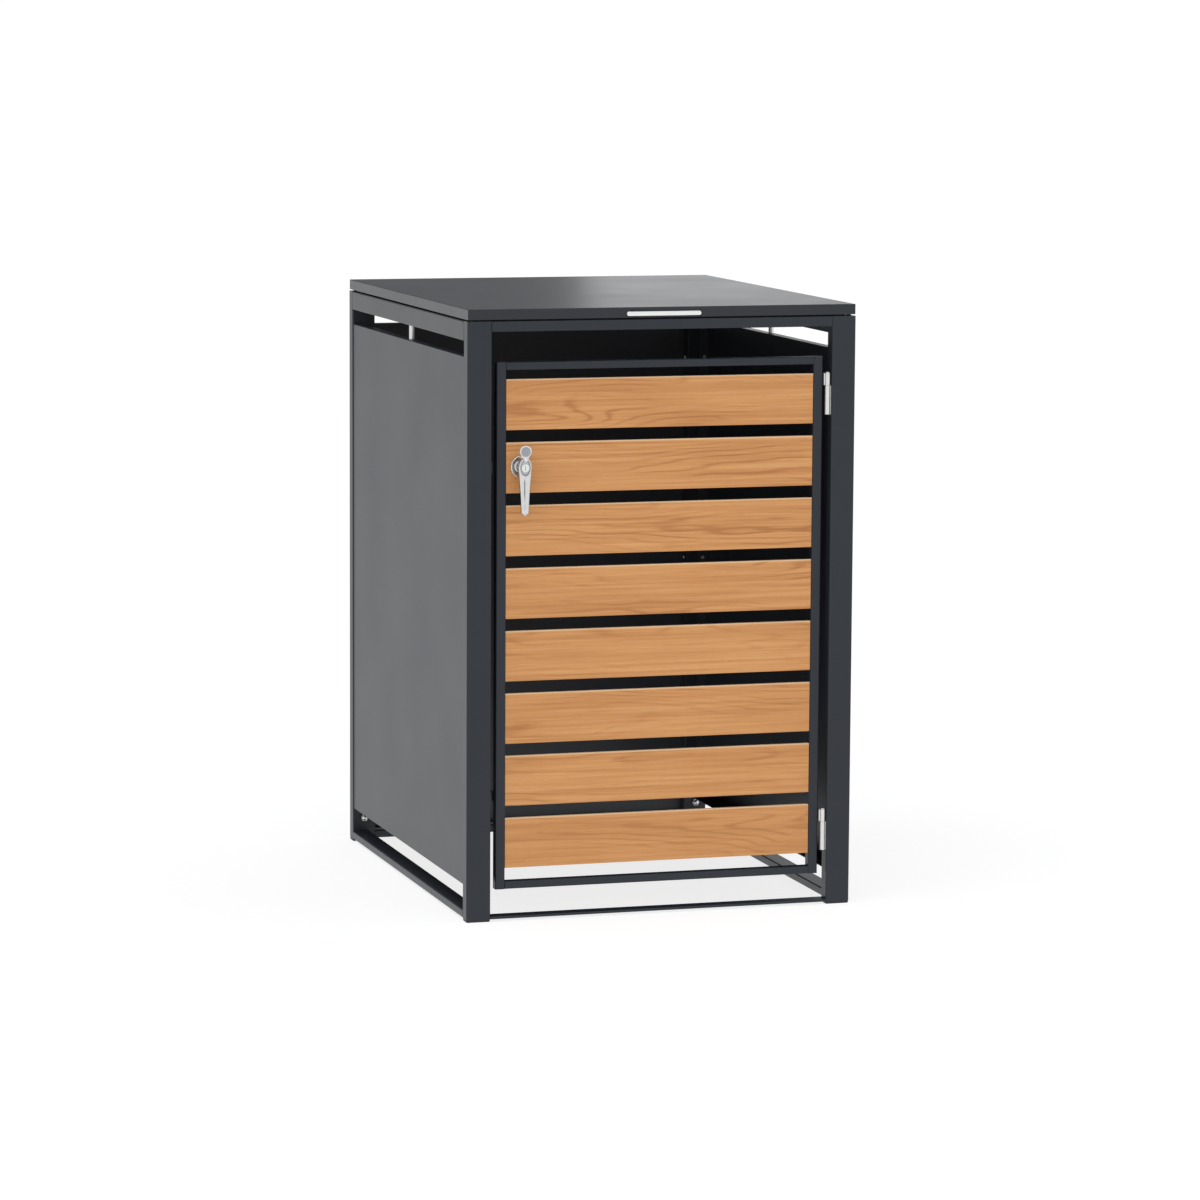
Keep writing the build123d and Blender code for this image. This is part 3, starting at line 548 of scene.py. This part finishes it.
def smooth_step(low, high, value):
    share = min(max((value - low) / (high - low), 0.0), 1.0)
    return share * share * (3.0 - 2.0 * share)


def rounded_heights(foot, top, steps):
    """Heights from foot to top that crowd together at both ends, where the outline turns fastest."""
    return [foot + (top - foot) * (1 - math.cos(math.pi * k / steps)) / 2 for k in range(steps + 1)]


def casting_rings(shape, heights, half_width, front, back, around):
    """One ring of points at each height. front and back give the depth of the two surfaces."""
    rings = []
    for height in heights:
        reach = max(half_width(height), THINNEST_REACH)
        ring = []
        for index in range(around):
            angle = 2.0 * math.pi * index / around
            across = math.cos(angle)
            surface = front if math.sin(angle) >= 0.0 else back
            depth = surface(across, height, abs(math.sin(angle)))
            ring.append(shape.verts.new((lock_centre.x + reach * across, depth, lock_centre.z + height)))
        rings.append(ring)
    return rings


def skin_over(shape, rings):
    """Closes rings into one skin: a band of faces between neighbours and a cap at each end."""
    count = len(rings[0])
    for ring, following in zip(rings, rings[1:]):
        for index in range(count):
            after = (index + 1) % count
            shape.faces.new((ring[index], ring[after], following[after], following[index]))
    shape.faces.new(rings[0])
    shape.faces.new(list(reversed(rings[-1])))
    bmesh.ops.recalc_face_normals(shape, faces=shape.faces)


def make_piece(shape, name, finish, smooth):
    mesh = bpy.data.meshes.new(name)
    shape.to_mesh(mesh)
    shape.free()
    for face in mesh.polygons:
        face.use_smooth = smooth
    mesh.materials.append(finish)
    piece = bpy.data.objects.new(name, mesh)
    bpy.context.scene.collection.objects.link(piece)
    return piece


print("ring helpers ready")

# %% [markdown]
# ## The cast lever
#
# The lever is a zinc die casting: its edges are thick and round, its head is dished around the key plug,
# and a long flute runs down the blade, which saves metal. The dark streak along the flute is painted
# shade in the chrome's colour. The CAD lever has the right outline and thickness but a flat face. So the
# outline is drawn again as a half width at each height, and the dish, the flute and the rounded edge are
# added to its front.

# %% The lever's outline and faces
LEVER_THICKNESS = 0.0118
CROWN_REACH = 0.0045
TIP_REACH = 0.0076
EDGE_ROUNDING = 0.0042
DISH_DEPTH = 0.0018
FLUTE_DEPTH = 0.0019


def lever_outline(height):
    """Half the lever's width at a height: crown, oval head, tapering blade, round tip."""
    if height > lever_top - CROWN_REACH:
        return math.sqrt(max(CROWN_REACH ** 2 - (height - lever_top + CROWN_REACH) ** 2, 0.0))
    if height > 0.0:
        share = height / (lever_top - CROWN_REACH)
        return CROWN_REACH + (head_reach - CROWN_REACH) * math.sqrt(max(1.0 - share ** 1.8, 0.0))
    if height < lever_foot + TIP_REACH:
        past = (lever_foot + TIP_REACH - height) / TIP_REACH
        return TIP_REACH * max(1.0 - past ** 2.4, 0.0) ** 0.42
    share = height / (lever_foot + TIP_REACH)
    return head_reach + (TIP_REACH - head_reach) * (share * 1.35 - share * share * 0.35)


def lever_front_face(across, height, bulge):
    rounding = EDGE_ROUNDING * (1.0 - min(bulge * 1.25, 1.0) ** 0.6) + 0.0004 * (1.0 - bulge)
    x = across * max(lever_outline(height), THINNEST_REACH)
    oval = math.hypot(x / DISH_HALF_WIDTH, (height - DISH_RISE) / DISH_HALF_HEIGHT)
    dish = DISH_DEPTH * (1.0 - smooth_step(0.84, 1.0, oval))
    below_head = smooth_step(-0.018, -0.026, height)
    above_tip = smooth_step(lever_foot + 0.010, lever_foot + 0.024, height)
    flute = FLUTE_DEPTH * below_head * above_tip * math.exp(-((across + 0.10) / 0.30) ** 2)
    end_round = 0.0025 * smooth_step(lever_foot + 0.004, lever_foot, height)
    return lever_front + rounding + dish + flute + end_round


def lever_back_face(across, height, bulge):
    return lever_front + LEVER_THICKNESS - 0.0036 * (1.0 - bulge) ** 2 - 0.0016 * abs(across)


lever_shape = bmesh.new()
lever_heights = rounded_heights(lever_foot, lever_top, 96)
skin_over(lever_shape, casting_rings(
    lever_shape, lever_heights, lever_outline, lever_front_face, lever_back_face, around=64,
))
print("lever rings:", len(lever_heights))

# %% [markdown]
# ## The lever's neck
#
# Behind the head, a short round neck stands on the rosette's hub and holds the blade clear of the boards.
# It is cast in one with the lever, so it goes into the same mesh: four rings from the head's back to just
# short of the rosette, with a slight waist.

# %% Neck
neck_start = lever_front + LEVER_THICKNESS - 0.0020
neck_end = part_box("lock_housing")[0].y - 0.0003
NECK_SIDES = 48
neck_rings = []
for radius, depth in ((0.0078, neck_start), (0.0074, neck_start + 0.0026),
                      (0.0079, neck_end - 0.0006), (0.0076, neck_end)):
    angles = [2 * math.pi * k / NECK_SIDES for k in range(NECK_SIDES)]
    neck_rings.append([
        lever_shape.verts.new((
            lock_centre.x + radius * math.cos(angle), depth, lock_centre.z + radius * math.sin(angle),
        ))
        for angle in angles
    ])
skin_over(lever_shape, neck_rings)
cast_lever = make_piece(lever_shape, "cast_lever", lever_chrome, smooth=True)
print("cast lever faces:", len(cast_lever.data.polygons))
print("neck length:", round((neck_end - neck_start) * 1000, 1), "mm")

# %% [markdown]
# ## The dust cover
#
# A shield-shaped cover swings over the key hole and keeps rain out of the plug. It is a thin casting too:
# broad and flat at the top, narrowing to its pivot, with a proud rim round a lowered field. The same rings
# make it, with a gentler front.

# %% Dust cover
PIVOT_REACH = 0.0046
PIVOT_SHARE = 0.16
SHOULDER_SHARE = 0.62


def cover_share(height):
    return (height - cover_foot) / (cover_top - cover_foot)


def cover_outline(height):
    """Half the cover's width at a height: round pivot end, flare, flat-topped shoulder."""
    share = cover_share(height)
    if share < PIVOT_SHARE:
        return PIVOT_REACH * math.sqrt(max(1.0 - (1.0 - share / PIVOT_SHARE) ** 2, 0.0))
    flare = PIVOT_REACH + (cover_reach - PIVOT_REACH) * smooth_step(0.12, SHOULDER_SHARE, share)
    over_shoulder = max((share - SHOULDER_SHARE) / (1.0 - SHOULDER_SHARE), 0.0)
    return flare * math.sqrt(max(1.0 - over_shoulder ** 2.6, 0.0))


def cover_front_face(across, height, bulge):
    share = cover_share(height)
    inside = min(1.0 - abs(across), (1.0 - share) * 2.6, max(share - 0.30, 0.0) * 3.2)
    field = 0.0007 * smooth_step(0.10, 0.24, inside)
    return cover_low.y + 0.0006 * (1.0 - bulge) ** 2 + field


def cover_back_face(across, height, bulge):
    return cover_high.y - 0.0002 * (1.0 - bulge)


cover_shape = bmesh.new()
cover_heights = rounded_heights(cover_foot, cover_top, 48)
skin_over(cover_shape, casting_rings(
    cover_shape, cover_heights, cover_outline, cover_front_face, cover_back_face, around=56,
))
shield_cover = make_piece(cover_shape, "shield_cover", cover_chrome, smooth=True)
print("dust cover faces:", len(shield_cover.data.polygons))

# %% [markdown]
# ## Castings in place of the plain pieces
#
# Each casting stands for one CAD node and moves with that node's body, so the lever still turns on its
# spindle and the cover still swings on its rivet.

# %% Replace the lever and the cover
for piece, body, node_name in (
    (cast_lever, "handle", "lever_handle"),
    (shield_cover, "dust_cover", "dust_cover"),
):
    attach(piece, body)
    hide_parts(node_name)
    print(piece.name, "replaces", node_name)

# %% [markdown]
# ## The strip under the lid
#
# A sheet lid would ring on a steel frame, so a strip of foam rubber is stuck along the front beam and a
# little way onto each post, and the lid comes down on it. It shows only as a dark line, but without it
# daylight from the far vent slot shines through the crack. Foam has a soft, slightly wavy crown, so it is
# laid as a row of rounded sections whose height wanders by a tenth of a millimetre.

# %% Foam strip on the front beam
beam_low, beam_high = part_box("front_top_beam")
crack = lid_low.z - beam_high.z
ONTO_POST = 0.030
FROM_BEAM_BACK = 0.008
STRIP_STEPS = 60
strip_start = beam_low.x - ONTO_POST
strip_length = beam_high.x - beam_low.x + 2 * ONTO_POST
strip_random = random.Random(7)


def strip_profile(crown):
    """The strip's section, from its front foot over the crown to its rear foot."""
    shoulder, cheek = crown * 0.92, crown * 0.6
    front_half = [(-0.0060, 0.0), (-0.0060, cheek), (-0.0050, shoulder), (-0.0030, crown)]
    rear_half = [(0.0010, crown), (0.0030, shoulder), (0.0040, cheek), (0.0040, 0.0)]
    return front_half + rear_half


strip_shape = bmesh.new()
strip_rings = []
for step in range(STRIP_STEPS + 1):
    x = strip_start + strip_length * step / STRIP_STEPS
    profile = strip_profile(crack * (0.90 + 0.04 * strip_random.random()))
    strip_rings.append([
        strip_shape.verts.new((x, beam_high.y - FROM_BEAM_BACK + y, beam_high.z + z)) for y, z in profile
    ])
skin_over(strip_shape, strip_rings)
foam_strip = make_piece(strip_shape, "lid_foam_strip", black_rubber, smooth=False)
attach(foam_strip, "frame")
print("foam strip in a crack of", round(crack * 1000, 2), "mm")

# %% [markdown]
# ## A pale floor
#
# The housing stands on a floor so pale that it melts into the backdrop, yet keeps a faint shadow where
# the feet touch. A plain white floor would need so much light that the paint would wash out. So most of
# its brightness is a glow of its own, and only a fifth answers to light and shadow. It runs far beyond
# the picture, because a near edge would show as a line.

# %% Floor
FLOOR_REACH = 1500.0


def pale_floor():
    surface = Finish("pale_floor", Roughness=0.9, Specular_IOR_Level=0.1, Emission_Strength=1.0)
    mottle = surface.noise(surface.place, scale=1.2)
    surface.feed("Base Color", surface.mix(mottle, (0.20, 0.20, 0.20), (0.22, 0.22, 0.22)))
    surface.feed("Emission Color", surface.mix(mottle, (0.80, 0.80, 0.80), (0.82, 0.82, 0.82)))
    shape = bmesh.new()
    bmesh.ops.create_grid(shape, x_segments=8, y_segments=8, size=FLOOR_REACH)
    floor = make_piece(shape, "studio_floor", surface.material, smooth=False)


pale_floor()
print("floor reaches", FLOOR_REACH, "m")

# %% [markdown]
# ## A soft sky
#
# Dark satin paint shows what surrounds it more than its own colour, so the sky is the real light source:
# bright in front and overhead, where it lights the boards, and dimmer behind, where the lid and the side
# sheet mirror it at a grazing angle. A picture of a studio could do this too, but one smooth ramp from
# front to back is enough and says what it does.

# %% Sky
SKY_FRONT = 0.92
SKY_BEHIND = 0.30
COOL_WHITE = (0.960, 0.978, 1.0)


def soft_sky():
    world = bpy.data.worlds.new("soft_sky")
    world.use_nodes = True
    bpy.context.scene.world = world
    sky = Wiring(world.node_tree)
    direction = sky.node("ShaderNodeTexCoord", {}, {}, output="Generated")
    to_the_back = sky.node("ShaderNodeSeparateXYZ", {}, {"Vector": direction}, output="Y")
    strength = sky.node("ShaderNodeMapRange", {"interpolation_type": "SMOOTHSTEP"}, {
        "Value": to_the_back,
        "From Min": -0.2,
        "From Max": 0.9,
        "To Min": SKY_FRONT,
        "To Max": SKY_BEHIND,
    }, output="Result")
    background = sky.tree.nodes["Background"]
    sky.connect(strength, background.inputs["Strength"])
    sky.connect(COOL_WHITE, background.inputs["Color"])


soft_sky()
print("sky", SKY_FRONT, "in front,", SKY_BEHIND, "behind")

# %% [markdown]
# ## Sun and lid glow
#
# One very soft sun overhead whitens the floor and lights upper edges; along the boards' upper edges a
# highlight is painted as well. The lid would still mirror nothing but the dim sky behind it, so a small lamp
# stands back there on the right. The lid picks it up as a broad sheen that fades towards the left. The lamp
# is hidden from the camera.

# %% Lamps
OVERHEAD_STRENGTH = 0.9
GLOW_POWER = 3.4
GLOW_PLACE = Vector((1.62, 4.0, 1.70))
GLOW_TARGET = Vector((0.15, 0.1, body_height))

sun_data = bpy.data.lights.new("overhead_sun", "SUN")
sun_data.energy = OVERHEAD_STRENGTH
sun_data.angle = math.radians(50)
sun = bpy.data.objects.new("overhead_sun", sun_data)
sun.rotation_euler = (math.radians(12), math.radians(-18), 0)
bpy.context.scene.collection.objects.link(sun)

glow_data = bpy.data.lights.new("lid_glow", "AREA")
glow_data.shape = "RECTANGLE"
glow_data.size = 0.85
glow_data.size_y = 0.9
glow_data.energy = GLOW_POWER
lid_glow = bpy.data.objects.new("lid_glow", glow_data)
lid_glow.location = GLOW_PLACE
lid_glow.rotation_mode = "QUATERNION"
lid_glow.rotation_quaternion = (GLOW_TARGET - GLOW_PLACE).to_track_quat("-Z", "Y")
lid_glow.visible_camera = False
bpy.context.scene.collection.objects.link(lid_glow)

bpy.context.scene.view_settings.view_transform = "Standard"
print("sun", OVERHEAD_STRENGTH, "lid glow", GLOW_POWER, "W")
